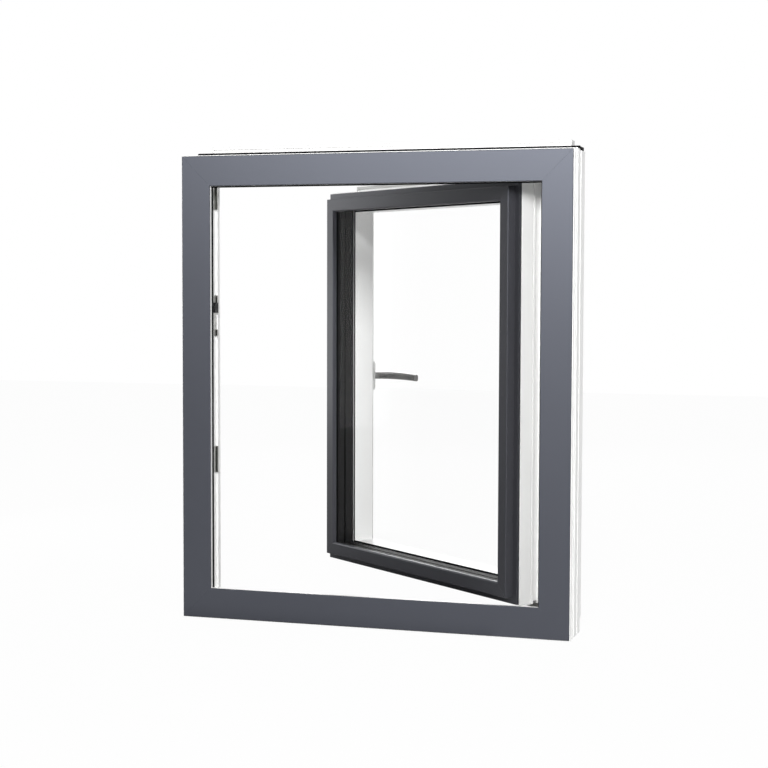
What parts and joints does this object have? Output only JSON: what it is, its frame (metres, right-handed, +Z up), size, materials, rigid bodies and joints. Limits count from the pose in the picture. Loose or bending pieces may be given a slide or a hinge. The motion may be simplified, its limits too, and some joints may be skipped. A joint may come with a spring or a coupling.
{
  "type": "casement window",
  "caption": "Inward-opening casement window in white plastic with dark grey outer cladding, insulating glazing and a lever handle, its sash standing ajar.",
  "frame": {"origin": "underside of the frame sill, midway along it and midway through the frame's depth", "axes": "+Z up, +X to the right seen from outside, +Y from outside to inside"},
  "size_m": [0.65, 0.4878, 0.776],
  "materials": {
    "white_plastic": "smooth satin",
    "grey_cladding": "satin",
    "black_rubber": "matte",
    "grey_rubber": "matte",
    "glass": "clear",
    "spacer": "matte",
    "black_plastic": "matte",
    "lock_steel": "zinc plated",
    "hinge_metal": "satin white",
    "handle_metal": "satin"
  },
  "bodies": {
    "root": {"bottom_bead": "white_plastic", "corner_keep": "lock_steel", "frame_gasket": "black_rubber", "frame_head": "white_plastic", "frame_left_jamb": "white_plastic", "frame_right_jamb": "white_plastic", "frame_sill": "white_plastic", "handle_lever": "handle_metal", "handle_rosette": "handle_metal", "head_adapter": "white_plastic", "head_cladding": "grey_cladding", "head_extension": "white_plastic", "head_seal": "black_rubber", "hinge_bead": "white_plastic", "inner_glazing_gasket": "black_rubber", "inner_pane": "glass", "inner_spacer": "spacer", "keep_insert": "black_plastic", "left_back_strip": "white_plastic", "left_jamb_cladding": "grey_cladding", "lock_bead": "white_plastic", "lock_faceplate": "lock_steel", "lower_hinge_bracket": "hinge_metal", "lower_hinge_leaf": "hinge_metal", "lower_keep": "lock_steel", "middle_pane": "glass", "outer_glazing_gasket": "black_rubber", "outer_pane": "glass", "outer_spacer": "spacer", "right_back_strip": "white_plastic", "right_jamb_cladding": "grey_cladding", "sash_bottom_cladding": "grey_cladding", "sash_bottom_rail": "white_plastic", "sash_gasket": "grey_rubber", "sash_hinge_cladding": "grey_cladding", "sash_hinge_stile": "white_plastic", "sash_lock_cladding": "grey_cladding", "sash_lock_stile": "white_plastic", "sash_top_cladding": "grey_cladding", "sash_top_rail": "white_plastic", "sill_cladding": "grey_cladding", "top_bead": "white_plastic", "upper_hinge_bracket": "hinge_metal", "upper_hinge_leaf": "hinge_metal", "upper_keep": "lock_steel"}
  },
  "joints": []
}
